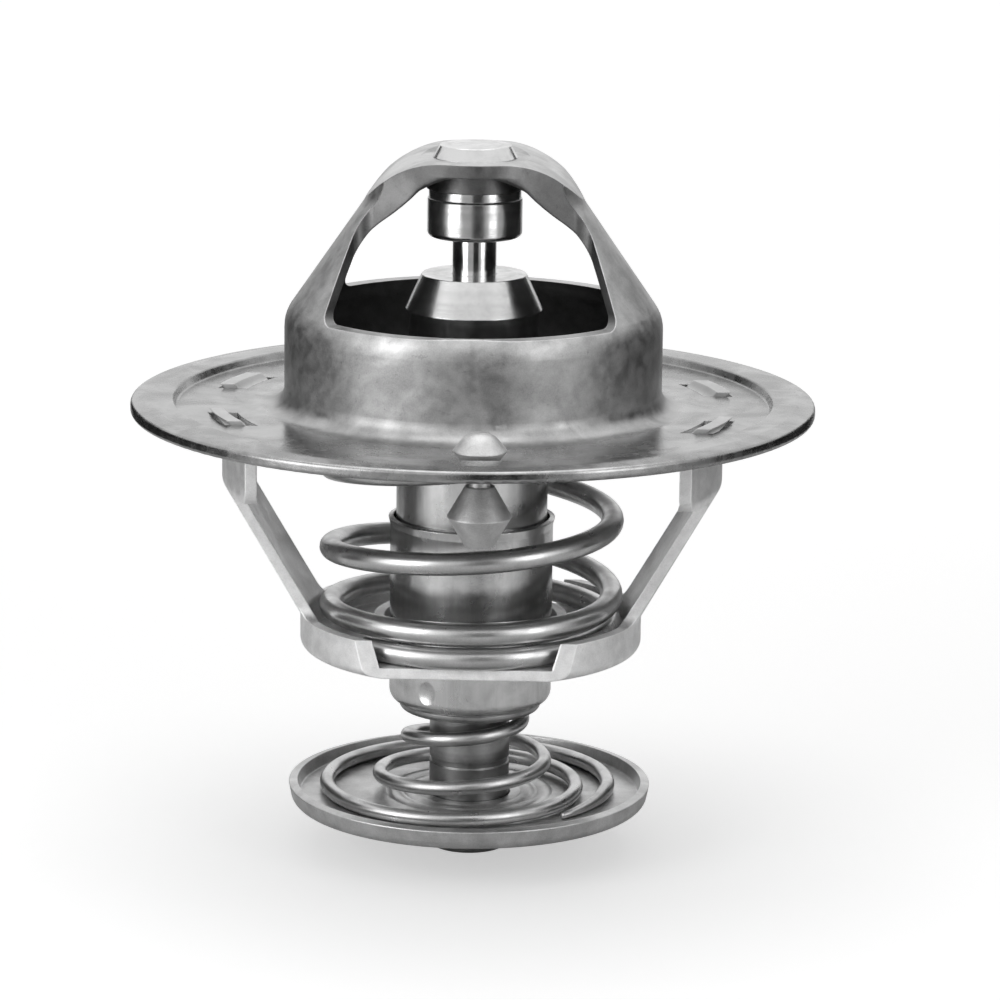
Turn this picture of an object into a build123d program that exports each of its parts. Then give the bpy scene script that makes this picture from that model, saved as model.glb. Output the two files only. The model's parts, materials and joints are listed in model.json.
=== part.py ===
from build123d import *
from math import cos, hypot, radians, sin, tan
import os

os.makedirs("parts", exist_ok=True)

# Wax-driven coolant valve of an engine. Millimetres, +Z up.
# The origin is the centre of the flange's seat, which is the underside of its rim.
# Each radius is measured from the valve's axis, each height from the seat.

# Flange, neck and bridge: one stamped sheet
flange_radius = 27.0
rim_thickness = 1.1
rim_edge = 0.3
rim_width = 3.3
rim_step = 0.65
rim_slope = 0.3
rim_flat = 2.0
rim_fall = 0.2
rim_bend = 3.0
step_bend = 0.15
sheet = 1.0
neck_radius = 14.9
foot_bend = 1.5
shoulder_z = 7.68
shoulder_bend = 3.0
dome_taper = 0.69
knee_z = 17.25
knee_bend = 4.0
knee_taper = 0.12
crown_z = 20.5
crown_flat = 2.1
crown_bend = 7.5
crown_tilt = 50.0
crown_foot_z = 10.25
crown_dish = 0.35
crown_dish_radius = 4.3
crown_dish_slope = 0.8
crown_hole = 2.95
crown_collar_wall = 0.85
crown_collar_z = 17.75

# Windows in the dome, seen from above
sill_z = 8.25
sill_bend = 1.0
bridge_half_width = 7.0
bridge_bend = 8.0
bridge_taper = 0.578
waist_x = 8.8
waist_bend = 1.1
leg_flare = 2.2

# Stirrup: one drawn strip with ears through the flange
strip = 0.8
stirrup_inset = 7.2
ear_inner_y = 4.8
ear_outer_y = 9.5
ear_proud = 0.35
ear_lean = 1.2
ear_gap = 0.12
plate_half_width = 9.75
plate_bottom_z = -5.95
plate_corner = 1.2
arm_half_width = 4.2
arm_top_z = -5.42
arm_bottom_z = -16.31
arm_corner = 1.0
cup_clearance = 0.7
cup_bottom_z = -19.15
cup_bend = 0.8
apron_top_z = -16.25
apron_half_width = 10.5
apron_flare = 0.2
collar_clearance = 0.43
collar_top_z = -16.65
collar_bend = 1.1
arm_bend = 1.2
arm_foot_bend = 0.3

# Piston and what holds it under the crown
piston_radius = 1.725
piston_tip_z = -13.75
piston_point = 0.5
piston_seat_z = 18.75
fit_gap = 0.02
slide_gap = 0.04
bush_head_radius = 3.35
bush_head_height = 1.0
bush_head_top_radius = 2.8
bush_ring_radius = 3.62
bush_bottom_z = 17.05
piston_collar_radius = 3.72
piston_collar_top_z = 16.95
piston_collar_bottom_z = 13.95
piston_collar_edge = 0.4

# Element: guide, cup, cap, and the rubber and wax inside
guide_top_z = 10.95
guide_top_radius = 4.13
guide_brim_z = 8.15
guide_brim_radius = 5.44
guide_neck_radius = 5.1
guide_flange_radius = 6.6
guide_flange_z = 2.75
guide_flange_thickness = 0.8
guide_bottom_z = -5.75
cup_gap = 0.05
element_radius = 6.0
element_wall = 0.95
element_floor = 0.8
cap_wall = 0.4
cap_gap = 0.07
cap_top_z = -8.6
cap_bottom_z = -23.65
cap_bend = 1.0
cap_lip = 0.15
cap_lip_height = 0.6
punch_radius = 0.95
punch_depth = 0.15
punch_azimuth = -120.0
punch_z = -21.8
washer_thickness = 1.2
boot_flange = 1.0
boot_top_radius = 3.9
boot_tip_radius = 2.9
boot_bottom_z = -16.75

# Main valve and its rubber ring
valve_sheet = 0.9
valve_hub_gap = 0.15
valve_hub_radius = 7.6
valve_slope_radius = 9.4
valve_bottom_z = -0.25
valve_hub_bend = 0.5
valve_rim_bend = 1.5
seal_clearance = 0.4
seal_rim = 1.3
seal_width = 2.15
seal_lip = 0.5
seal_gap = 0.1

# Bypass stem, disc and clip
stem_head_radius = 5.65
stem_head_height = 0.6
stem_head_edge = 0.4
stem_radius = 3.2
stem_bottom_z = -35.7
stem_edge = 0.4
stem_groove_depth = 0.15
stem_groove_z = -28.45
stem_groove_height = 0.5
clip_groove_depth = 0.5
clip_thickness = 0.7
clip_radius = 4.1
clip_gap = 0.05
clip_slot = 2.4
disc_radius = 14.5
disc_sheet = 0.7
disc_bottom_z = -32.0
disc_height = 1.55
disc_lean = 0.3
disc_bend = 0.8
disc_bore_gap = 0.1
disc_ridge_radii = (4.7, 6.1)
disc_ridge_half_width = 0.4
disc_ridge_height = 0.25
disc_ridge_bend = 0.2

# Springs: each route is given at quarter turns from its top end, as a share of the fall
# between its two seats, so a spring follows the pieces it stands between. The bypass spring
# also spreads, by a share of the way from the stem to the disc's edge.
seat_gap = 0.02
quarter = 90.0
bends_per_quarter = 2
coil_bend = 0.46
main_wire = 0.9
main_clearance = 0.25
main_start = 225.0
main_fall = (0, 0, 0, 0.036, 0.146, 0.300, 0.432, 0.497, 0.568, 0.669, 0.792, 0.872, 0.884, 0.927, 0.970,
             0.995, 1)
bypass_wire = 0.575
bypass_start = 135.0
bypass_stem_clearance = 0.325
bypass_disc_clearance = 2.475
bypass_fall = (0, 0.026, 0.095, 0.215, 0.435, 0.59, 0.675, 0.795, 0.915, 0.965, 0.99, 1, 1, 1, 1)
bypass_spread = (0, 0.007, 0.034, 0.088, 0.150, 0.224, 0.299, 0.388, 0.456, 0.524, 0.653, 0.925, 1.041,
                 1.007, 1)

# Jiggle pin: it hangs loose in a hole of the flange
pin_inset = 6.5
pin_azimuth = -86.5
pin_hole = 1.2
pin_radius = 0.8
pin_head_radius = 2.06
pin_head_foot_radius = 1.5
pin_head_brim = 0.7
pin_head_height = 2.15
pin_head_top_radius = 0.9
pin_head_bend = 1.8
bob_radius = 2.45
bob_end_radius = 1.12
bob_top_z = -1.55
bob_middle_z = -3.87
bob_bottom_z = -6.13

# Heights and radii that follow from these
flat_top_z = rim_thickness - rim_step
flat_bottom_z = flat_top_z - sheet
step_radius = flange_radius - rim_width
step_foot_radius = step_radius - rim_slope
neck_bore = neck_radius - sheet
cut_reach = flange_radius + neck_radius
bridge_peak = bridge_half_width + bridge_bend * (hypot(1, bridge_taper) - 1)
waist_y = bridge_peak - bridge_taper * waist_x
pin_circle = flange_radius - pin_inset
seal_radius = neck_radius - seal_clearance
seal_lip_radius = seal_radius - seal_width
valve_rim_radius = seal_radius - seal_rim
main_coil_radius = seal_lip_radius - main_clearance - main_wire
stirrup_radius = flange_radius - stirrup_inset
cup_radius = main_coil_radius + main_wire + cup_clearance + strip
stirrup_floor_z = cup_bottom_z + strip
stirrup_low_z = cup_bottom_z - strip
ear_top_z = flat_top_z + ear_proud
guide_bore = piston_radius + slide_gap
element_bore = element_radius - element_wall
guide_spigot_radius = element_bore - cup_gap
element_top_z = guide_flange_z - valve_sheet
element_bottom_z = cap_bottom_z + cap_wall
wax_bottom_z = element_bottom_z + element_floor
boot_top_z = guide_bottom_z - washer_thickness
cap_radius = element_radius + cap_gap + cap_wall
collar_inner_radius = cap_radius + collar_clearance
stem_shoulder_z = cap_bottom_z - stem_head_height
clip_top_z = disc_bottom_z - clip_gap
clip_bottom_z = clip_top_z - clip_thickness
disc_floor_z = disc_bottom_z + disc_sheet
bypass_top_radius = stem_radius + bypass_wire + bypass_stem_clearance
bypass_bottom_radius = disc_radius - bypass_wire - bypass_disc_clearance
bypass_step_out = bypass_bottom_radius - bypass_top_radius
bypass_radii = [bypass_top_radius + share * bypass_step_out for share in bypass_spread]
main_radii = [main_coil_radius] * len(main_fall)


def dome_radius(height):
    """Outer radius of the dome at a height: a cone up to its knee, then nearly upright."""
    cone_height = min(height, knee_z) - shoulder_z
    return neck_radius - dome_taper * cone_height - knee_taper * max(height - knee_z, 0)


def shaped(points, bends):
    """A closed face with a bend radius at each of its corners."""
    with BuildLine() as outline:
        FilletPolyline(*points, radius=bends, close=True)
    make_face(outline.edges())


def turned(points, bends=None, mode=Mode.ADD):
    """A solid of revolution about the valve's axis, from (radius, height) corners."""
    with BuildSketch(Plane.XZ) as profile:
        shaped(points, bends or [0] * len(points))
    revolve(profile.sketch, axis=Axis.Z, mode=mode)


def turned_sheet(face, bends, thickness):
    """A revolved sheet: face holds the corners of one side, the other side lies to its left."""
    corners = [Vector(*point) for point in face]
    steps = [(end - start).normalized() for start, end in zip(corners, corners[1:])]
    lefts = [Vector(-step.Y, step.X) for step in steps]
    back = [corners[0] + lefts[0] * thickness]
    back_bends = []
    for corner, bend, before, after in zip(corners[1:-1], bends, lefts, lefts[1:]):
        back.append(corner + (before + after) * (thickness / (1 + before.dot(after))))
        turns_left = before.cross(after).Z > 0
        back_bends.append(max(bend - thickness, 0) if turns_left else bend + thickness)
    back.append(corners[-1] + lefts[-1] * thickness)
    turned(corners + back[::-1], [0, *bends, 0, 0, *back_bends[::-1], 0])


def arch(drop):
    """The bridge's outline seen from the front, lowered by drop, open far below and at the sides."""
    bend = crown_bend - drop
    top = crown_z - drop
    corner = crown_flat + bend * tan(radians(crown_tilt / 2))
    foot = corner + (top - crown_foot_z) / tan(radians(crown_tilt))
    side = [(cut_reach, -crown_z), (cut_reach, crown_foot_z), (foot, crown_foot_z), (corner, top)]
    mirrored = [(-x, z) for x, z in reversed(side)]
    shaped(side + mirrored, [0, 0, 0, bend, bend, 0, 0, 0])


def cut_by_arch(drop):
    """Keeps what lies under the arch."""
    with BuildSketch(Plane.XZ) as front:
        arch(drop)
    extrude(front.sketch, amount=cut_reach, both=True, mode=Mode.INTERSECT)


def tear_holes(inner_radius, outer_radius, near_y, far_y):
    """Four short arcs between two circles, one in each quarter."""
    with BuildSketch(Plane.XY) as holes:
        Circle(outer_radius)
        Circle(inner_radius, mode=Mode.SUBTRACT)
        with Locations((outer_radius, (near_y + far_y) / 2)):
            Rectangle(2 * outer_radius, far_y - near_y, mode=Mode.INTERSECT)
        mirror(about=Plane.XZ)
        mirror(about=Plane.YZ)
    return holes.sketch


def along(values, turn):
    """A listed value at a number of quarter turns, whole or not."""
    place = min(int(turn), len(values) - 2)
    share = turn - place
    return values[place] * (1 - share) + values[place + 1] * share


def coil_points(radii, falls, start, top, bottom):
    """A coil's two ends and the corners between them, whose rounded corners touch the listed radii."""
    last = len(falls) - 1
    corner_turns = [(index + 1 / 2) / bends_per_quarter for index in range(last * bends_per_quarter)]
    corner_reach = 1 / cos(radians(quarter / bends_per_quarter / 2))
    points = []
    for turn in (0, *corner_turns, last):
        reach = along(radii, turn) * (corner_reach if 0 < turn < last else 1)
        angle = radians(start - turn * quarter)
        points.append((reach * cos(angle), reach * sin(angle), top + along(falls, turn) * (bottom - top)))
    return points


def coil(points, wire):
    """Round wire along a route with rounded corners. Its two end runs are half as long as the others."""
    corners = [Vector(*point) for point in points]
    runs = [end - start for start, end in zip(corners, corners[1:])]
    spans = [runs[0] * 2, *runs[1:-1], runs[-1] * 2]
    bends = []
    for before, after in zip(spans, spans[1:]):
        half_turn = radians(before.get_angle(after)) / 2
        bends.append(coil_bend * min(before.length, after.length) / tan(half_turn))
    with BuildLine():
        route = FilletPolyline(*corners, radius=bends)
    with BuildSketch(Plane(origin=route @ 0, z_dir=route % 0)) as section:
        Circle(wire)
    sweep(section.sketch, path=route)


# Flange and bridge: the dome is first solid above the neck, then hollowed
fill_z = (flat_top_z + foot_bend + shoulder_z) / 2
dome_top_z = crown_z + sheet
cone_offset = sheet * hypot(1, dome_taper)
knee_offset = sheet * hypot(1, knee_taper)
hollow_shoulder_z = shoulder_z - (cone_offset - sheet) / dome_taper
hollow_knee_z = knee_z - (cone_offset - knee_offset) / (dome_taper - knee_taper)

with BuildPart() as hollow:
    turned(
        [
            (0, fill_z - sheet),
            (neck_bore, fill_z - sheet),
            (neck_bore, hollow_shoulder_z),
            (dome_radius(hollow_knee_z) - cone_offset, hollow_knee_z),
            (dome_radius(dome_top_z) - knee_offset, dome_top_z),
            (0, dome_top_z),
        ],
        [0, 0, shoulder_bend - sheet, knee_bend + sheet, 0, 0],
    )
    cut_by_arch(sheet)

with BuildPart() as windows:
    with BuildSketch(Plane.XY.offset(sill_z)):
        spread = (neck_radius - waist_y) / leg_flare
        side = [(waist_x, -waist_y), (waist_x + spread, -neck_radius)]
        mirrored = [(-x, y) for x, y in reversed(side)]
        shaped([(0, -bridge_peak), *side, *mirrored], [bridge_bend, waist_bend, 0, 0, waist_bend])
        mirror(about=Plane.XZ)
    extrude(amount=crown_z)
    fillet(edges().group_by(Axis.Z)[0], sill_bend)

with BuildPart() as flange_bridge:
    turned(
        [
            (flange_radius, 0),
            (flange_radius, rim_thickness - rim_fall),
            (step_radius + rim_flat, rim_thickness),
            (step_radius, rim_thickness),
            (step_foot_radius, flat_top_z),
            (neck_radius, flat_top_z),
            (neck_radius, shoulder_z),
            (dome_radius(knee_z), knee_z),
            (dome_radius(dome_top_z), dome_top_z),
            (0, dome_top_z),
            (0, fill_z),
            (neck_bore, fill_z),
            (neck_bore, flat_bottom_z),
            (step_foot_radius - rim_slope, flat_bottom_z),
            (step_foot_radius, 0),
        ],
        [rim_edge, rim_edge, rim_bend, step_bend, step_bend, foot_bend, shoulder_bend, knee_bend,
         0, 0, 0, 0, foot_bend + sheet, step_bend, step_bend],
    )
    cut_by_arch(0)
    add(hollow.part, mode=Mode.SUBTRACT)
    add(windows.part, mode=Mode.SUBTRACT)
    turned(
        [
            (0, crown_z - crown_dish),
            (crown_dish_radius, crown_z - crown_dish),
            (crown_dish_radius + crown_dish_slope, crown_z),
            (crown_dish_radius + crown_dish_slope, dome_top_z),
            (0, dome_top_z),
        ],
        mode=Mode.SUBTRACT,
    )
    turned(
        [
            (0, crown_collar_z),
            (crown_hole + crown_collar_wall, crown_collar_z),
            (crown_hole + crown_collar_wall, crown_z - crown_dish),
            (0, crown_z - crown_dish),
        ]
    )
    with Locations((0, 0, crown_z)):
        Hole(radius=crown_hole, depth=crown_z - sill_z)
    ear_slots = tear_holes(
        stirrup_radius - strip - ear_gap,
        stirrup_radius + ear_lean + ear_gap,
        ear_inner_y - ear_gap,
        ear_outer_y + ear_gap,
    )
    extrude(ear_slots, amount=sheet, both=True, mode=Mode.SUBTRACT)
    with Locations(Location((0, 0, flat_top_z), (0, 0, pin_azimuth))):
        with Locations((pin_circle, 0)):
            Hole(radius=pin_hole)
flange_bridge.part.label = "flange_bridge"
export_step(flange_bridge.part, "parts/flange_bridge.step")

# Stirrup: the revolved strip, trimmed to its outline as seen from the side
with BuildPart() as stirrup:
    turned_sheet(
        [
            (collar_inner_radius, collar_top_z),
            (collar_inner_radius, cup_bottom_z),
            (cup_radius, cup_bottom_z),
            (cup_radius, arm_bottom_z),
            (stirrup_radius, arm_top_z),
            (stirrup_radius, flat_bottom_z),
            (stirrup_radius + ear_lean, ear_top_z),
        ],
        [collar_bend, cup_bend, arm_foot_bend, arm_bend, 0],
        strip,
    )
    with BuildSketch(Plane.YZ):
        shaped(
            [
                (0, flat_bottom_z),
                (ear_inner_y, flat_bottom_z),
                (ear_inner_y, ear_top_z),
                (ear_outer_y, ear_top_z),
                (ear_outer_y, flat_bottom_z),
                (plate_half_width, flat_bottom_z),
                (plate_half_width, plate_bottom_z),
                (arm_half_width, plate_bottom_z),
                (arm_half_width, apron_top_z),
                (apron_half_width, apron_top_z),
                (apron_half_width + apron_flare * (apron_top_z - stirrup_low_z), stirrup_low_z),
                (0, stirrup_low_z),
            ],
            [0, 0, 0, 0, 0, 0, plate_corner, arm_corner, arm_corner, 0, 0, 0],
        )
        mirror(about=Plane.YZ)
    extrude(amount=flange_radius, both=True, mode=Mode.INTERSECT)
stirrup.part.label = "stirrup"
export_step(stirrup.part, "parts/stirrup.step")

# Bush riveted in the crown
bush_seat_z = crown_z - crown_dish
bush_shank_radius = crown_hole - fit_gap
piston_hole = piston_radius + fit_gap
with BuildPart() as piston_bush:
    turned(
        [
            (0, piston_seat_z + fit_gap),
            (piston_hole, piston_seat_z + fit_gap),
            (piston_hole, bush_bottom_z),
            (bush_ring_radius, bush_bottom_z),
            (bush_ring_radius, crown_collar_z),
            (bush_shank_radius, crown_collar_z),
            (bush_shank_radius, bush_seat_z),
            (bush_head_radius, bush_seat_z),
            (bush_head_top_radius, bush_seat_z + bush_head_height),
            (0, bush_seat_z + bush_head_height),
        ]
    )
piston_bush.part.label = "piston_bush"
export_step(piston_bush.part, "parts/piston_bush.step")

with BuildPart() as piston_collar:
    turned(
        [
            (piston_hole, piston_collar_bottom_z),
            (piston_collar_radius, piston_collar_bottom_z),
            (piston_collar_radius, piston_collar_top_z),
            (piston_hole, piston_collar_top_z),
        ],
        [0, piston_collar_edge, 0, 0],
    )
piston_collar.part.label = "piston_collar"
export_step(piston_collar.part, "parts/piston_collar.step")

with BuildPart() as piston:
    turned(
        [
            (0, piston_tip_z),
            (piston_radius - piston_point, piston_tip_z),
            (piston_radius, piston_tip_z + piston_point),
            (piston_radius, piston_seat_z),
            (0, piston_seat_z),
        ]
    )
piston.part.label = "piston"
export_step(piston.part, "parts/piston.step")

# Element
with BuildPart() as guide:
    turned(
        [
            (guide_bore, guide_bottom_z),
            (guide_spigot_radius, guide_bottom_z),
            (guide_spigot_radius, guide_flange_z),
            (guide_flange_radius, guide_flange_z),
            (guide_flange_radius, guide_flange_z + guide_flange_thickness),
            (guide_neck_radius, guide_flange_z + guide_flange_thickness),
            (guide_neck_radius, guide_brim_z),
            (guide_brim_radius, guide_brim_z),
            (guide_top_radius, guide_top_z),
            (guide_bore, guide_top_z),
        ]
    )
guide.part.label = "guide"
export_step(guide.part, "parts/guide.step")

with BuildPart() as wax_cup:
    turned(
        [
            (0, element_bottom_z),
            (element_radius, element_bottom_z),
            (element_radius, element_top_z),
            (element_bore, element_top_z),
            (element_bore, wax_bottom_z),
            (0, wax_bottom_z),
        ],
        [0, cap_bend, 0, 0, 0, 0],
    )
wax_cup.part.label = "wax_cup"
export_step(wax_cup.part, "parts/wax_cup.step")

with BuildPart() as end_cap:
    turned_sheet(
        [
            (0, cap_bottom_z),
            (cap_radius, cap_bottom_z),
            (cap_radius, cap_top_z - cap_lip_height),
            (cap_radius + cap_lip, cap_top_z),
        ],
        [cap_bend, cap_lip_height],
        cap_wall,
    )
    punch_ball = (punch_radius**2 + punch_depth**2) / (2 * punch_depth)
    punch_reach = cap_radius + punch_ball - punch_depth
    punch_angle = radians(punch_azimuth)
    with Locations((punch_reach * cos(punch_angle), punch_reach * sin(punch_angle), punch_z)):
        Sphere(punch_ball, mode=Mode.SUBTRACT)
end_cap.part.label = "end_cap"
export_step(end_cap.part, "parts/end_cap.step")

with BuildPart() as boot_washer:
    turned(
        [
            (guide_bore, boot_top_z),
            (guide_spigot_radius, boot_top_z),
            (guide_spigot_radius, guide_bottom_z),
            (guide_bore, guide_bottom_z),
        ]
    )
boot_washer.part.label = "boot_washer"
export_step(boot_washer.part, "parts/boot_washer.step")

with BuildPart() as rubber_boot:
    turned(
        [
            (0, boot_bottom_z),
            (boot_tip_radius, boot_bottom_z),
            (boot_top_radius, boot_top_z - boot_flange),
            (guide_spigot_radius, boot_top_z - boot_flange),
            (guide_spigot_radius, boot_top_z),
            (guide_bore, boot_top_z),
            (guide_bore, piston_tip_z - slide_gap),
            (0, piston_tip_z - slide_gap),
        ]
    )
rubber_boot.part.label = "rubber_boot"
export_step(rubber_boot.part, "parts/rubber_boot.step")

with BuildPart() as wax_charge:
    turned(
        [
            (0, wax_bottom_z),
            (guide_spigot_radius, wax_bottom_z),
            (guide_spigot_radius, boot_top_z - boot_flange),
            (boot_top_radius + fit_gap, boot_top_z - boot_flange),
            (boot_tip_radius + fit_gap, boot_bottom_z - fit_gap),
            (0, boot_bottom_z - fit_gap),
        ]
    )
wax_charge.part.label = "wax_charge"
export_step(wax_charge.part, "parts/wax_charge.step")

# Main valve, clamped between the guide's flange and the cup's rim
with BuildPart() as main_valve:
    turned_sheet(
        [
            (guide_spigot_radius + valve_hub_gap, element_top_z),
            (valve_hub_radius, element_top_z),
            (valve_slope_radius, valve_bottom_z),
            (valve_rim_radius, valve_bottom_z),
        ],
        [valve_hub_bend, valve_rim_bend],
        valve_sheet,
    )
main_valve.part.label = "main_valve"
export_step(main_valve.part, "parts/main_valve.step")

# The ring's slanted face lies under the flared foot of the neck, at 45 degrees
flare_centre = neck_radius + foot_bend + flat_top_z + foot_bend
seat_line = flare_centre - (foot_bend + sheet + seal_gap) * hypot(1, 1)
valve_rim_top_z = valve_bottom_z + valve_sheet
with BuildPart() as valve_seal:
    turned(
        [
            (seal_lip_radius, valve_bottom_z - seal_lip),
            (seal_radius - seal_lip, valve_bottom_z - seal_lip),
            (seal_radius, valve_bottom_z),
            (seal_radius, seat_line - seal_radius),
            (seat_line - valve_rim_top_z - seal_lip, valve_rim_top_z + seal_lip),
            (seal_lip_radius, valve_rim_top_z + seal_lip),
            (seal_lip_radius, valve_rim_top_z),
            (valve_rim_radius, valve_rim_top_z),
            (valve_rim_radius, valve_bottom_z),
            (seal_lip_radius, valve_bottom_z),
        ]
    )
valve_seal.part.label = "valve_seal"
export_step(valve_seal.part, "parts/valve_seal.step")

# Bypass stem, clip and disc
clip_groove_radius = stem_radius - clip_groove_depth
with BuildPart() as bypass_stem:
    turned(
        [
            (0, stem_bottom_z),
            (stem_radius, stem_bottom_z),
            (stem_radius, clip_bottom_z - clip_gap),
            (clip_groove_radius, clip_bottom_z - clip_gap),
            (clip_groove_radius, clip_top_z + clip_gap),
            (stem_radius, clip_top_z + clip_gap),
            (stem_radius, stem_groove_z - stem_groove_height / 2),
            (stem_radius - stem_groove_depth, stem_groove_z - stem_groove_height / 2),
            (stem_radius - stem_groove_depth, stem_groove_z + stem_groove_height / 2),
            (stem_radius, stem_groove_z + stem_groove_height / 2),
            (stem_radius, stem_shoulder_z),
            (stem_head_radius, stem_shoulder_z),
            (stem_head_radius, cap_bottom_z),
            (0, cap_bottom_z),
        ],
        [0, stem_edge, 0, 0, 0, 0, 0, 0, 0, 0, 0, stem_head_edge, 0, 0],
    )
bypass_stem.part.label = "bypass_stem"
export_step(bypass_stem.part, "parts/bypass_stem.step")

with BuildPart() as stem_clip:
    with BuildSketch(Plane.XY.offset(clip_bottom_z)):
        Circle(clip_radius)
        Circle(clip_groove_radius + clip_gap, mode=Mode.SUBTRACT)
        with Locations((0, clip_radius)):
            Rectangle(clip_slot, 2 * clip_radius, mode=Mode.SUBTRACT)
    extrude(amount=clip_thickness)
stem_clip.part.label = "stem_clip"
export_step(stem_clip.part, "parts/stem_clip.step")

disc_face = [(stem_radius + disc_bore_gap, disc_bottom_z)]
disc_bends = []
for ridge in disc_ridge_radii:
    for shift, rise in ((-1, 0), (0, 1), (1, 0)):
        corner_radius = ridge + shift * disc_ridge_half_width
        disc_face.append((corner_radius, disc_bottom_z + rise * disc_ridge_height))
        disc_bends.append(disc_ridge_bend)
disc_face.append((disc_radius - disc_lean, disc_bottom_z))
disc_bends.append(disc_bend)
disc_face.append((disc_radius, disc_bottom_z + disc_height))
with BuildPart() as bypass_disc:
    turned_sheet(disc_face, disc_bends, disc_sheet)
bypass_disc.part.label = "bypass_disc"
export_step(bypass_disc.part, "parts/bypass_disc.step")

# Springs
with BuildPart() as main_spring:
    main_top_z = valve_bottom_z - main_wire - seat_gap
    main_bottom_z = stirrup_floor_z + main_wire + seat_gap
    coil(coil_points(main_radii, main_fall, main_start, main_top_z, main_bottom_z), main_wire)
main_spring.part.label = "main_spring"
export_step(main_spring.part, "parts/main_spring.step")

with BuildPart() as bypass_spring:
    bypass_top_z = stem_shoulder_z - bypass_wire - seat_gap
    bypass_bottom_z = disc_floor_z + bypass_wire + seat_gap
    coil(coil_points(bypass_radii, bypass_fall, bypass_start, bypass_top_z, bypass_bottom_z), bypass_wire)
bypass_spring.part.label = "bypass_spring"
export_step(bypass_spring.part, "parts/bypass_spring.step")

# Jiggle pin
pin_angle = radians(pin_azimuth)
pin_axis = Axis((pin_circle * cos(pin_angle), pin_circle * sin(pin_angle), 0), (0, 0, 1))
with BuildPart() as jiggle_pin:
    with BuildSketch(Plane(origin=pin_axis.position, x_dir=(1, 0, 0), z_dir=(0, -1, 0))):
        shaped(
            [
                (0, bob_bottom_z),
                (bob_end_radius, bob_bottom_z),
                (bob_radius, bob_middle_z),
                (bob_end_radius, bob_top_z),
                (pin_radius, bob_top_z),
                (pin_radius, flat_top_z),
                (pin_head_foot_radius, flat_top_z),
                (pin_head_radius, flat_top_z + pin_head_brim),
                (pin_head_top_radius, flat_top_z + pin_head_height),
                (0, flat_top_z + pin_head_height),
            ],
            [0, 0, 0, 0, 0, 0, 0, 0, pin_head_bend, 0],
        )
    revolve(axis=pin_axis)
jiggle_pin.part.label = "jiggle_pin"
export_step(jiggle_pin.part, "parts/jiggle_pin.step")
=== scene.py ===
import json
from math import cos, pi, radians, sin

import bpy
import numpy as np
from mathutils import Matrix, Vector

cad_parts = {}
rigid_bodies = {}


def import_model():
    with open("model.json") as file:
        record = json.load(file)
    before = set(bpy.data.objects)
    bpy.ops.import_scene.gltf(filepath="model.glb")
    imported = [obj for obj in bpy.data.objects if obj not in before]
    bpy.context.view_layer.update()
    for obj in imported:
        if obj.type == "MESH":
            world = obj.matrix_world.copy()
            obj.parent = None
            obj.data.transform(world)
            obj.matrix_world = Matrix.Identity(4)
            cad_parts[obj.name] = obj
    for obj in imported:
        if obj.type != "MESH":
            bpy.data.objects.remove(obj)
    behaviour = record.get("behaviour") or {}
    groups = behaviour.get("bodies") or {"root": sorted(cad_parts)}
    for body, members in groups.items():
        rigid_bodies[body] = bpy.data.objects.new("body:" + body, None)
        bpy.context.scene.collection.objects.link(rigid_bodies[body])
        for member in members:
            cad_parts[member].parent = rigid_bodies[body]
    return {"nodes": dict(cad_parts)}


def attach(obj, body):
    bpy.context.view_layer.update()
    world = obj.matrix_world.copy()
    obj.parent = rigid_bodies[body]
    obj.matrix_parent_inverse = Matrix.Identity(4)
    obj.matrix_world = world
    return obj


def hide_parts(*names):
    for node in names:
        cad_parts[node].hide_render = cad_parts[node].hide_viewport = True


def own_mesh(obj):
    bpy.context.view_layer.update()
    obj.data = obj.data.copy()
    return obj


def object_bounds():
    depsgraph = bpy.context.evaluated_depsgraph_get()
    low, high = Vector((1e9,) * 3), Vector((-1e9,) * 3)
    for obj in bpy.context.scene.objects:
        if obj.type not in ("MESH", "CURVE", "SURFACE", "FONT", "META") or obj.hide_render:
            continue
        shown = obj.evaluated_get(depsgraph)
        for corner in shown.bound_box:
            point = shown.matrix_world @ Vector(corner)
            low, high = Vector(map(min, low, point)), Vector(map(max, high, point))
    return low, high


for left_over in list(bpy.data.objects):
    bpy.data.objects.remove(left_over)

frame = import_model()
nodes = frame["nodes"]
cad_low, cad_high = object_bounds()
MM = 0.001

# Camera
CAMERA_X = 0.03 * MM
CAMERA_DISTANCE = 350 * MM
CAMERA_HEIGHT = 72.68 * MM
CAMERA_NEAR = 10 * MM
CAMERA_FAR = 20000 * MM
CAMERA_LENS = 162.72
CAMERA_SENSOR = 36.0
CAMERA_PITCH = radians(12.87)
CAMERA_ROLL = radians(0.68)
CAMERA_YAW = radians(0.36)
PART_TURN = radians(1.9)


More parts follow.
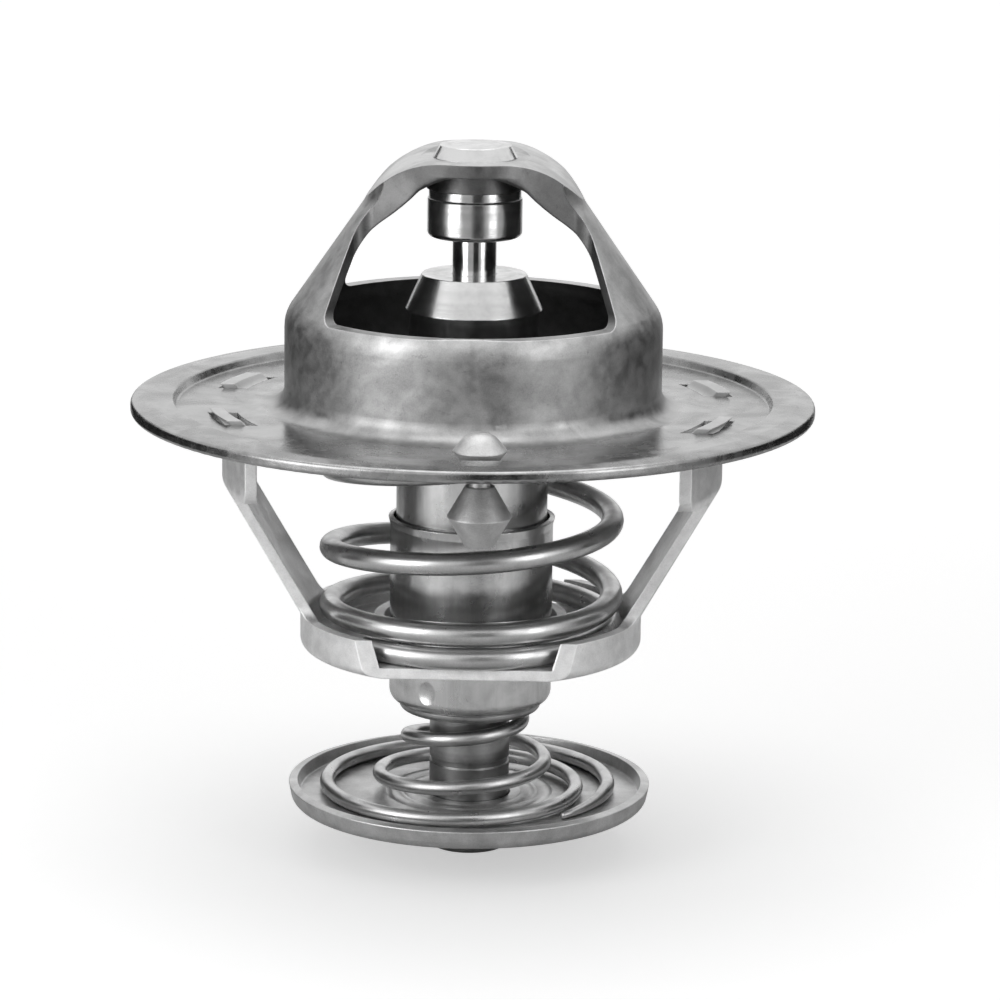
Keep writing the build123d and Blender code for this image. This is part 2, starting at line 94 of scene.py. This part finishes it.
def add_camera():
    """The photograph's camera, turned about the part by the angle at which the part stood."""
    level = cos(CAMERA_PITCH)
    ahead = Vector((sin(CAMERA_YAW) * level, cos(CAMERA_YAW) * level, -sin(CAMERA_PITCH)))
    right = Vector((cos(CAMERA_YAW), -sin(CAMERA_YAW), 0))
    above = right.cross(ahead)
    rolled_right = right * cos(CAMERA_ROLL) + above * sin(CAMERA_ROLL)
    rolled_above = above * cos(CAMERA_ROLL) - right * sin(CAMERA_ROLL)
    turn = Matrix((rolled_right, rolled_above, -ahead)).transposed().to_4x4()
    place = Matrix.Translation((CAMERA_X, -CAMERA_DISTANCE, CAMERA_HEIGHT))
    data = bpy.data.cameras.new("photo_camera")
    data.lens = CAMERA_LENS
    data.sensor_width = CAMERA_SENSOR
    data.sensor_fit = "HORIZONTAL"
    data.clip_start = CAMERA_NEAR
    data.clip_end = CAMERA_FAR
    camera = bpy.data.objects.new("photo_camera", data)
    bpy.context.scene.collection.objects.link(camera)
    camera.matrix_world = Matrix.Rotation(PART_TURN, 4, "Z") @ place @ turn
    bpy.context.scene.camera = camera


# Materials: heights over the flange's seat and radii off the axis are in millimetres
NOISE_RANGE = (0.3, 0.7)
BEVEL_SAMPLES = 6
EDGE_COSINES = (0.995, 0.9)

# Painted shade inside the dome, under it and on the sheared edges of its windows
AWAY_COSINES = (-0.3, -0.6)
UPRIGHT_COSINES = (0.03, 0.08)
INSIDE_HEIGHTS = (1, 3)
PAINTED_INSIDE_SHADE = 0.22
SILL_HEIGHTS = (8.6, 9.2)
PAINTED_SHEARED_SHADE = 0.8
# Painted shade, darker below the neck's upper part
NECK_HEIGHTS = (4, 11)
PAINTED_NECK_SHADE = 0.78
FLAT_RADII = (15.5, 17)
FLAT_ROUGHNESS = (0.08, -0.12)
# Painted shade on the flange's flat out from the neck
BAND_RADII = (16.5, 18)
PAINTED_FLAT_SHADE = 0.86
# Painted shade on the strip just over the flange, at its ears
EAR_HEIGHTS = (0, 0.6)
PAINTED_EAR_SHADE = 0.6

WAX_DARK = (0.55, 0.40, 0.22, 1)
WAX_LIGHT = (0.66, 0.50, 0.30, 1)


class Nodes:
    """Short names for the nodes of one material."""

    def __init__(self, name):
        self.material = bpy.data.materials.new(name)
        self.material.use_nodes = True
        self.tree = self.material.node_tree
        self.tree.nodes.clear()
        self.shader = self.add("ShaderNodeBsdfPrincipled")
        output = self.add("ShaderNodeOutputMaterial")
        self.link(self.shader.outputs["BSDF"], output.inputs["Surface"])
        coordinates = self.add("ShaderNodeTexCoord")
        self.place = coordinates.outputs["Object"]
        self.normal = coordinates.outputs["Normal"]

    def add(self, kind):
        return self.tree.nodes.new(kind)

    def link(self, start, end):
        self.tree.links.new(start, end)

    def set(self, socket, value):
        if isinstance(value, bpy.types.NodeSocket):
            self.link(value, socket)
        else:
            socket.default_value = value

    def math(self, operation, first, second=0.0):
        node = self.add("ShaderNodeMath")
        node.operation = operation
        self.set(node.inputs[0], first)
        self.set(node.inputs[1], second)
        return node.outputs[0]

    def total(self, first, *others):
        for other in others:
            first = self.math("ADD", first, other)
        return first

    def vectors(self, operation, first, second=(0, 0, 0)):
        """Vector arithmetic. It gives a number for a dot product or a length, else a vector."""
        node = self.add("ShaderNodeVectorMath")
        node.operation = operation
        self.set(node.inputs[0], first)
        self.set(node.inputs[1], second)
        return node.outputs["Value" if operation in ("DOT_PRODUCT", "LENGTH") else "Vector"]

    def upward(self, vector):
        """A vector's part along the valve's axis."""
        node = self.add("ShaderNodeSeparateXYZ")
        self.link(vector, node.inputs[0])
        return node.outputs["Z"]

    def height(self):
        """The height over the flange's seat, in millimetres."""
        return self.math("MULTIPLY", self.upward(self.place), 1 / MM)

    def radius(self):
        """The distance from the valve's axis, in millimetres."""
        return self.vectors("LENGTH", self.vectors("MULTIPLY", self.place, (1 / MM, 1 / MM, 0)))

    def ramp(self, value, given, wanted, smooth=True):
        """Maps the range given of value to the range wanted."""
        node = self.add("ShaderNodeMapRange")
        node.interpolation_type = "SMOOTHSTEP" if smooth else "LINEAR"
        self.set(node.inputs["Value"], value)
        node.inputs["From Min"].default_value, node.inputs["From Max"].default_value = given
        node.inputs["To Min"].default_value, node.inputs["To Max"].default_value = wanted
        return node.outputs["Result"]

    def spread(self, noise, start, end):
        """Maps the range where a noise mostly lies to start..end."""
        return self.ramp(noise, NOISE_RANGE, (start, end))

    def noise(self, scale, detail=4.0, roughness=0.55, stretch=(1, 1, 1), distortion=0.0):
        """Noise with scale cells per millimetre."""
        place = self.add("ShaderNodeMapping")
        self.link(self.place, place.inputs["Vector"])
        place.inputs["Scale"].default_value = [scale * part / MM for part in stretch]
        node = self.add("ShaderNodeTexNoise")
        self.link(place.outputs["Vector"], node.inputs["Vector"])
        node.inputs["Scale"].default_value = 1
        node.inputs["Detail"].default_value = detail
        node.inputs["Roughness"].default_value = roughness
        node.inputs["Distortion"].default_value = distortion
        return node.outputs["Fac"]

    def round_grooves(self, per_mm):
        """Lathe marks: noise over the height and the radius alone, the same all round the axis."""
        run = self.math("ADD", self.height(), self.radius())
        node = self.add("ShaderNodeTexNoise")
        node.noise_dimensions = "1D"
        self.link(self.math("MULTIPLY", run, per_mm), node.inputs["W"])
        node.inputs["Scale"].default_value = 1
        node.inputs["Detail"].default_value = 2
        return node.outputs["Fac"]

    def edges(self, radius_mm):
        """The normal of rounded edges, and how near an edge a point is, from 0 to 1."""
        bevel = self.add("ShaderNodeBevel")
        bevel.samples = BEVEL_SAMPLES
        bevel.inputs["Radius"].default_value = radius_mm * MM
        rounded = bevel.outputs["Normal"]
        plain = self.add("ShaderNodeNewGeometry").outputs["Normal"]
        return rounded, self.ramp(self.vectors("DOT_PRODUCT", rounded, plain), EDGE_COSINES, (0, 1))

    def painted_dome_shade(self):
        """Where shade is painted on the dome: 1 on its inner and downward sides, nearly 1 on the sheared
        edges of its windows, else 0.
        """
        outward = self.vectors("NORMALIZE", self.vectors("MULTIPLY", self.place, (1, 1, 0)))
        facing = self.vectors("DOT_PRODUCT", outward, self.normal)
        upward = self.upward(self.normal)
        inward = self.ramp(facing, AWAY_COSINES, (0, 1))
        down = self.ramp(upward, AWAY_COSINES, (0, 1))
        over_flange = self.ramp(self.height(), INSIDE_HEIGHTS, (0, 1))
        inside = self.math("MULTIPLY", self.math("MAXIMUM", inward, down), over_flange)
        upright = self.ramp(self.math("ABSOLUTE", upward), UPRIGHT_COSINES, (1, 0))
        over_sill = self.ramp(self.height(), SILL_HEIGHTS, (0, 1))
        sheared = self.math("MULTIPLY", self.math("MULTIPLY", upright, over_sill), PAINTED_SHEARED_SHADE)
        return self.math("MAXIMUM", inside, sheared)

    def grey(self, value):
        node = self.add("ShaderNodeCombineColor")
        for socket in node.inputs[:3]:
            self.set(socket, value)
        return node.outputs["Color"]

    def bump(self, height, depth_mm, normal=None):
        node = self.add("ShaderNodeBump")
        node.inputs["Distance"].default_value = depth_mm * MM
        node.inputs["Strength"].default_value = 1
        self.link(height, node.inputs["Height"])
        if normal is not None:
            self.link(normal, node.inputs["Normal"])
        return node.outputs["Normal"]

    def finish(self, colour, roughness, normal, metallic=1.0):
        self.link(colour, self.shader.inputs["Base Color"])
        self.link(roughness, self.shader.inputs["Roughness"])
        self.link(normal, self.shader.inputs["Normal"])
        self.shader.inputs["Metallic"].default_value = metallic
        return self.material


def flange_zones(n, tone, roughness):
    """Painted shade: darkest inside the dome and on its sheared edges, darker low on the neck and on the
    flange's smooth flat.
    """
    # painted shade inside the dome, under it and on its sheared edges
    tone = n.math("MULTIPLY", tone, n.ramp(n.painted_dome_shade(), (0, 1), (1, PAINTED_INSIDE_SHADE), smooth=False))
    # painted shade, darker below the neck's upper part
    tone = n.math("MULTIPLY", tone, n.ramp(n.height(), NECK_HEIGHTS, (PAINTED_NECK_SHADE, 1)))
    # painted shade on the flange's flat out from the neck
    tone = n.math("MULTIPLY", tone, n.ramp(n.radius(), BAND_RADII, (1, PAINTED_FLAT_SHADE)))
    return tone, n.math("ADD", roughness, n.ramp(n.radius(), FLAT_RADII, FLAT_ROUGHNESS))


def ear_zones(n, tone, roughness):
    """Painted shade: darker just over the flange, at the strip's ears."""
    return n.math("MULTIPLY", tone, n.ramp(n.height(), EAR_HEIGHTS, (1, PAINTED_EAR_SHADE))), roughness


def stamped(name, light, rough, grain=0.006, smudge=0.16, zones=None):
    """Bare stamped sheet: fine grain, soft smudges, small scuffs, pale edges that are partly wear and
    partly painted highlight.
    """
    n = Nodes(name)
    patches = n.noise(0.22, 3, 0.6, distortion=0.6)
    blotches = n.noise(0.9, 4, 0.65)
    fine = n.noise(9, 2, 0.6)
    scuffs = n.noise(1.6, 3, 0.7, stretch=(0.25, 3, 1))
    edge_normal, edge_wear_and_highlight = n.edges(0.16)
    tone = n.total(
        n.spread(patches, light - smudge / 2, light + smudge / 2),
        n.spread(blotches, -0.05, 0.05),
        n.ramp(fine, (0.25, 0.75), (-0.035, 0.035)),
        n.ramp(scuffs, (0.62, 0.72), (0, -0.09)),
        # pale edges: partly wear, partly painted highlight
        n.math("MULTIPLY", edge_wear_and_highlight, 0.12),
    )
    roughness = n.total(
        n.spread(patches, rough + 0.06, rough - 0.06),
        n.spread(blotches, -0.05, 0.05),
    )
    if zones is not None:
        tone, roughness = zones(n, tone, roughness)
    grains = n.total(fine, n.math("MULTIPLY", blotches, 1.5))
    return n.finish(n.grey(tone), roughness, n.bump(grains, grain, edge_normal))


def turned(name, light, rough, groove=0.004):
    """Lathe-turned steel: fine rings round the axis, bright, with thin tone changes."""
    n = Nodes(name)
    rings = n.round_grooves(7)
    bands = n.round_grooves(0.9)
    stains = n.noise(0.6, 4, 0.6)
    edge_normal, edge_wear_and_highlight = n.edges(0.12)
    tone = n.total(
        n.spread(bands, light - 0.05, light + 0.05),
        n.ramp(stains, (0.35, 0.7), (0.03, -0.06)),
        # pale edges: partly wear, partly painted highlight
        n.math("MULTIPLY", edge_wear_and_highlight, 0.1),
    )
    roughness = n.spread(stains, rough - 0.04, rough + 0.07)
    return n.finish(n.grey(tone), roughness, n.bump(rings, groove, edge_normal))


def drawn(name, light, rough):
    """Deep-drawn shell: long faint streaks along the axis over a smooth face."""
    n = Nodes(name)
    streaks = n.noise(2.2, 3, 0.6, stretch=(1, 1, 0.08))
    stains = n.noise(0.35, 4, 0.65, distortion=0.4)
    fine = n.noise(12, 2, 0.5)
    edge_normal, edge_wear_and_highlight = n.edges(0.12)
    tone = n.total(
        n.spread(stains, light - 0.07, light + 0.07),
        n.spread(streaks, -0.035, 0.035),
        # pale edges: partly wear, partly painted highlight
        n.math("MULTIPLY", edge_wear_and_highlight, 0.1),
    )
    roughness = n.spread(stains, rough + 0.05, rough - 0.05)
    grains = n.total(fine, n.math("MULTIPLY", streaks, 2))
    return n.finish(n.grey(tone), roughness, n.bump(grains, 0.003, edge_normal))


def wire_steel(name, light, rough):
    """Drawn spring wire: even grey with faint pits and rubbed spots."""
    n = Nodes(name)
    rubs = n.noise(0.5, 3, 0.6)
    fine = n.noise(10, 3, 0.6)
    edge_normal, _ = n.edges(0.1)
    tone = n.total(n.spread(rubs, light - 0.05, light + 0.06), n.spread(fine, -0.03, 0.03))
    roughness = n.spread(rubs, rough + 0.06, rough - 0.05)
    return n.finish(n.grey(tone), roughness, n.bump(fine, 0.003, edge_normal))


def rubber(name):
    """Moulded rubber: nearly black, matte, with a faint grey bloom."""
    n = Nodes(name)
    fine = n.noise(7, 3, 0.6)
    bloom = n.noise(0.5, 3, 0.6)
    tone = n.spread(bloom, 0.025, 0.05)
    return n.finish(n.grey(tone), n.spread(fine, 0.6, 0.8), n.bump(fine, 0.01), metallic=0.0)


def wax(name):
    """Cast wax: two tans in fine clouds."""
    n = Nodes(name)
    fine = n.noise(4, 3, 0.6)
    mix = n.add("ShaderNodeMix")
    mix.data_type = "RGBA"
    n.link(fine, mix.inputs["Factor"])
    dark, light = [socket for socket in mix.inputs if socket.type == "RGBA"]
    dark.default_value = WAX_DARK
    light.default_value = WAX_LIGHT
    colour = next(socket for socket in mix.outputs if socket.type == "RGBA")
    return n.finish(colour, n.spread(fine, 0.45, 0.6), n.bump(fine, 0.01), metallic=0.0)


def paint_nodes():
    """Each CAD node gets the finish that its piece has in the photograph. Returns the springs' finish."""
    sheet = stamped("sheet_stamped", 0.50, 0.36, zones=flange_zones)
    strip = stamped("strip_stamped", 0.86, 0.58, smudge=0.1, zones=ear_zones)
    cast = stamped("pin_cast", 0.56, 0.48, grain=0.02, smudge=0.1)
    disc = stamped("disc_stamped", 0.56, 0.38, grain=0.009)
    bright = turned("steel_turned", 0.62, 0.20)
    stem = turned("stem_turned", 0.32, 0.34, groove=0.006)
    shell = drawn("steel_drawn", 0.58, 0.24)
    polished = turned("steel_polished", 0.68, 0.13, groove=0.0015)
    spring = wire_steel("steel_wire", 0.54, 0.32)
    seal = rubber("rubber_black")
    finishes = {
        "flange_bridge": sheet,
        "main_valve": sheet,
        "stirrup": strip,
        "bypass_disc": disc,
        "piston_bush": bright,
        "piston_collar": bright,
        "guide": bright,
        "jiggle_pin": cast,
        "boot_washer": bright,
        "bypass_stem": stem,
        "wax_cup": shell,
        "end_cap": shell,
        "piston": polished,
        "stem_clip": spring,
        "main_spring": spring,
        "bypass_spring": spring,
        "valve_seal": seal,
        "rubber_boot": seal,
        "wax_charge": wax("wax_solid"),
    }
    for name, material in finishes.items():
        slots = nodes[name].data.materials
        for index in range(len(slots)):
            slots[index] = material
    return spring


# Springs, in millimetres and degrees: each fall is a share of the way down, at one quarter turn
QUARTER = 90.0
STEPS_PER_QUARTER = 16
WIRE_SIDES = 28
END_CHAMFER = 0.12
GROUND_STEPS = 7
GROUND_SHARE = 0.35

MAIN_WIRE = 0.9
MAIN_RADIUS = 11.2
MAIN_START = 225.0
MAIN_TOP = -1.17
MAIN_BOTTOM = -17.43
MAIN_FALL = (
    0, 0, 0, 0.036, 0.146, 0.300, 0.432, 0.497, 0.568,
    0.669, 0.792, 0.872, 0.884, 0.927, 0.970, 0.995, 1,
)
BYPASS_WIRE = 0.575
BYPASS_START = 135.0
BYPASS_TOP = -24.845
BYPASS_BOTTOM = -30.705
BYPASS_FALL = (
    0, 0.026, 0.095, 0.215, 0.435, 0.59, 0.675, 0.795, 0.915, 0.965, 0.99, 1, 1, 1, 1,
)
BYPASS_RADII = (
    4.1, 4.15, 4.35, 4.75, 5.2, 5.75, 6.3, 6.95, 7.45, 8.0, 9.3, 10.9, 11.75, 11.45, 10.75,
)


def eased(values, places):
    """Values given at whole numbers, joined by a smooth curve that never overshoots."""
    values = np.array(values, float)
    steps = np.diff(values)
    slopes = np.zeros(len(values))
    for index in range(1, len(values) - 1):
        before, after = steps[index - 1], steps[index]
        if before * after > 0:
            slopes[index] = 2 * before * after / (before + after)
    slopes[0], slopes[-1] = steps[0], steps[-1]
    cell = np.clip(places.astype(int), 0, len(values) - 2)
    part = places - cell
    start, end = values[cell], values[cell + 1]
    first, second = slopes[cell], slopes[cell + 1]
    return (
        start * (2 * part**3 - 3 * part**2 + 1)
        + first * (part**3 - 2 * part**2 + part)
        + end * (3 * part**2 - 2 * part**3)
        + second * (part**3 - part**2)
    )


def coil_line(radii, falls, start, top, bottom):
    """The points along a coil's middle, and the directions along, outward and across at each."""
    quarters = len(falls) - 1
    places = np.linspace(0, quarters, quarters * STEPS_PER_QUARTER + 1)
    angles = np.radians(start - places * QUARTER)
    radius = eased(radii, places)
    height = top + eased(falls, places) * (bottom - top)
    line = np.stack([radius * np.cos(angles), radius * np.sin(angles), height], axis=1)
    along = np.gradient(line, axis=0)
    along /= np.linalg.norm(along, axis=1)[:, None]
    outward = np.stack([np.cos(angles), np.sin(angles), np.zeros(len(angles))], axis=1)
    across = np.cross(along, outward)
    across /= np.linalg.norm(across, axis=1)[:, None]
    return line, along, np.cross(across, along), across


def wire_mesh(name, centres, outward, across, sizes):
    """A ring of points round each centre, skinned, with a flat cap and a flat chamfer at each end."""
    spin = np.arange(WIRE_SIDES) * 2 * pi / WIRE_SIDES
    rings = (
        np.cos(spin)[None, :, None] * outward[:, None]
        + np.sin(spin)[None, :, None] * across[:, None]
    )
    points = (centres[:, None] + rings * sizes[:, None, None]).reshape(-1, 3) * MM
    faces = []
    for row in range(len(centres) - 1):
        low, high = row * WIRE_SIDES, (row + 1) * WIRE_SIDES
        for side in range(WIRE_SIDES):
            after = (side + 1) % WIRE_SIDES
            faces.append((low + side, high + side, high + after, low + after))
    skin = len(faces)
    last = (len(centres) - 1) * WIRE_SIDES
    faces.append(tuple(range(WIRE_SIDES)))
    faces.append(tuple(last + side for side in reversed(range(WIRE_SIDES))))
    mesh = bpy.data.meshes.new(name)
    mesh.from_pydata(points.tolist(), [], faces)
    mesh.validate()
    smooth = [WIRE_SIDES <= index < skin - WIRE_SIDES for index in range(len(faces))]
    mesh.polygons.foreach_set("use_smooth", smooth)
    return mesh


def wire_coil(name, radii, falls, start, top, bottom, wire, material, ground=False):
    """A round wire wound from top to bottom, with chamfered ends, or its last run ground down to a tip."""
    line, along, outward, across = coil_line(radii, falls, start, top, bottom)
    centres = np.concatenate([
        line[:1], line[:1] + along[:1] * END_CHAMFER,
        line[1:-1],
        line[-1:] - along[-1:] * END_CHAMFER, line[-1:],
    ])
    order = [0, *range(len(line)), len(line) - 1]
    sizes = np.full(len(centres), wire)
    sizes[[0, -1]] = wire - END_CHAMFER
    if ground:
        shares = np.linspace(1, GROUND_SHARE, GROUND_STEPS + 1)[1:]
        sizes[-GROUND_STEPS:] *= shares
        centres[-GROUND_STEPS:, 2] -= wire * (1 - shares)
    mesh = wire_mesh(name, centres, outward[order], across[order], sizes)
    mesh.materials.append(material)
    piece = bpy.data.objects.new(name, mesh)
    bpy.context.scene.collection.objects.link(piece)
    return piece


def add_springs(material):
    """Both springs, each wound as a wire and put on its body in place of the CAD spring."""
    main = wire_coil(
        "main_coil", [MAIN_RADIUS] * len(MAIN_FALL), MAIN_FALL, MAIN_START,
        MAIN_TOP, MAIN_BOTTOM, MAIN_WIRE, material,
    )
    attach(main, "frame")
    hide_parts("main_spring")
    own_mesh(main)
    bypass = wire_coil(
        "bypass_coil", BYPASS_RADII, BYPASS_FALL, BYPASS_START,
        BYPASS_TOP, BYPASS_BOTTOM, BYPASS_WIRE, material, ground=True,
    )
    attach(bypass, "element")
    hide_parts("bypass_spring")
    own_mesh(bypass)


# Floor and light, in metres
WHITE = (1, 1, 1, 1)
FLOOR_HALF = 3.0
FLOOR_PAPER = (0.72, 0.72, 0.72, 1)
FLOOR_GLOWS = (0.48, 0.66)
FLOOR_GLOW_RADII_MM = (40, 600)
MATTE = 0.9
CARD_RADIUS = 130 * MM
CARD_HEIGHT = 90 * MM
CARD_SPANS = ((-150, -76), (-4, 24), (76, 150))
CARD_STEPS = 12
CARD_BLACK = (0.02, 0.02, 0.02, 1)
ROOM_LEVEL = 0.35
SEEN_LEVEL = 1.0
LAMPS = (
    ("left", (-0.130, -0.110, 0.035), (0.10, 0.12), 2.6),
    ("right", (0.125, -0.120, 0.035), (0.06, 0.12), 1.9),
    ("top", (0.0, 0.05, 0.60), (0.60, 0.60), 1.25),
)


def add_floor():
    """Plain paper. What the camera sees of it is lifted to white, and keeps the object's shadow."""
    half = FLOOR_HALF
    corners = [(-half, -half, 0), (half, -half, 0), (half, half, 0), (-half, half, 0)]
    mesh = bpy.data.meshes.new("floor")
    mesh.from_pydata(corners, [], [(0, 1, 2, 3)])
    floor = bpy.data.objects.new("floor", mesh)
    floor.location = (0, 0, cad_low.z)
    bpy.context.scene.collection.objects.link(floor)
    n = Nodes("floor_paper")
    n.shader.inputs["Base Color"].default_value = FLOOR_PAPER
    n.shader.inputs["Roughness"].default_value = MATTE
    n.shader.inputs["Emission Color"].default_value = WHITE
    seen = n.add("ShaderNodeLightPath").outputs["Is Camera Ray"]
    glow = n.ramp(n.radius(), FLOOR_GLOW_RADII_MM, FLOOR_GLOWS, smooth=False)
    n.link(n.math("MULTIPLY", seen, glow), n.shader.inputs["Emission Strength"])
    mesh.materials.append(n.material)


def add_cards():
    """Black studio cards, which only the steel mirrors, each from one angle off the front to another."""
    points, faces = [], []
    for start, end in CARD_SPANS:
        first = len(points)
        for step in range(CARD_STEPS + 1):
            angle = radians(start + (end - start) * step / CARD_STEPS)
            for height in (0, CARD_HEIGHT):
                points.append((CARD_RADIUS * sin(angle), -CARD_RADIUS * cos(angle), cad_low.z + height))
        for step in range(CARD_STEPS):
            low = first + 2 * step
            faces.append((low, low + 2, low + 3, low + 1))
    mesh = bpy.data.meshes.new("cards")
    mesh.from_pydata(points, [], faces)
    cards = bpy.data.objects.new("cards", mesh)
    bpy.context.scene.collection.objects.link(cards)
    cards.visible_camera = False
    cards.visible_diffuse = False
    cards.visible_shadow = False
    n = Nodes("card_black")
    n.shader.inputs["Base Color"].default_value = CARD_BLACK
    n.shader.inputs["Roughness"].default_value = MATTE
    mesh.materials.append(n.material)


def add_light(name, place, size, radiance):
    """A flat lamp that faces the part's middle, as bright as radiance wherever it is seen."""
    data = bpy.data.lights.new(name, "AREA")
    data.shape = "RECTANGLE"
    data.size, data.size_y = size
    data.energy = radiance * pi * size[0] * size[1]
    lamp = bpy.data.objects.new(name, data)
    lamp.location = place
    lamp.rotation_euler = (-Vector(place)).to_track_quat("-Z", "Y").to_euler()
    lamp.visible_camera = False
    bpy.context.scene.collection.objects.link(lamp)


def light_scene():
    """The lamps, and a world that is white to the camera and in the steel, and dim as a light."""
    for name, place, size, radiance in LAMPS:
        add_light(name, place, size, radiance)
    world = bpy.data.worlds.new("studio")
    bpy.context.scene.world = world
    world.use_nodes = True
    tree = world.node_tree
    background = tree.nodes["Background"]
    path = tree.nodes.new("ShaderNodeLightPath")
    seen = tree.nodes.new("ShaderNodeMath")
    seen.operation = "MAXIMUM"
    tree.links.new(path.outputs["Is Camera Ray"], seen.inputs[0])
    tree.links.new(path.outputs["Is Glossy Ray"], seen.inputs[1])
    strength = tree.nodes.new("ShaderNodeMapRange")
    strength.inputs["To Min"].default_value = ROOM_LEVEL
    strength.inputs["To Max"].default_value = SEEN_LEVEL
    tree.links.new(seen.outputs[0], strength.inputs["Value"])
    tree.links.new(strength.outputs["Result"], background.inputs["Strength"])
    background.inputs["Color"].default_value = WHITE


bpy.context.scene.view_settings.view_transform = "Standard"
add_camera()
add_springs(paint_nodes())
add_floor()
add_cards()
light_scene()
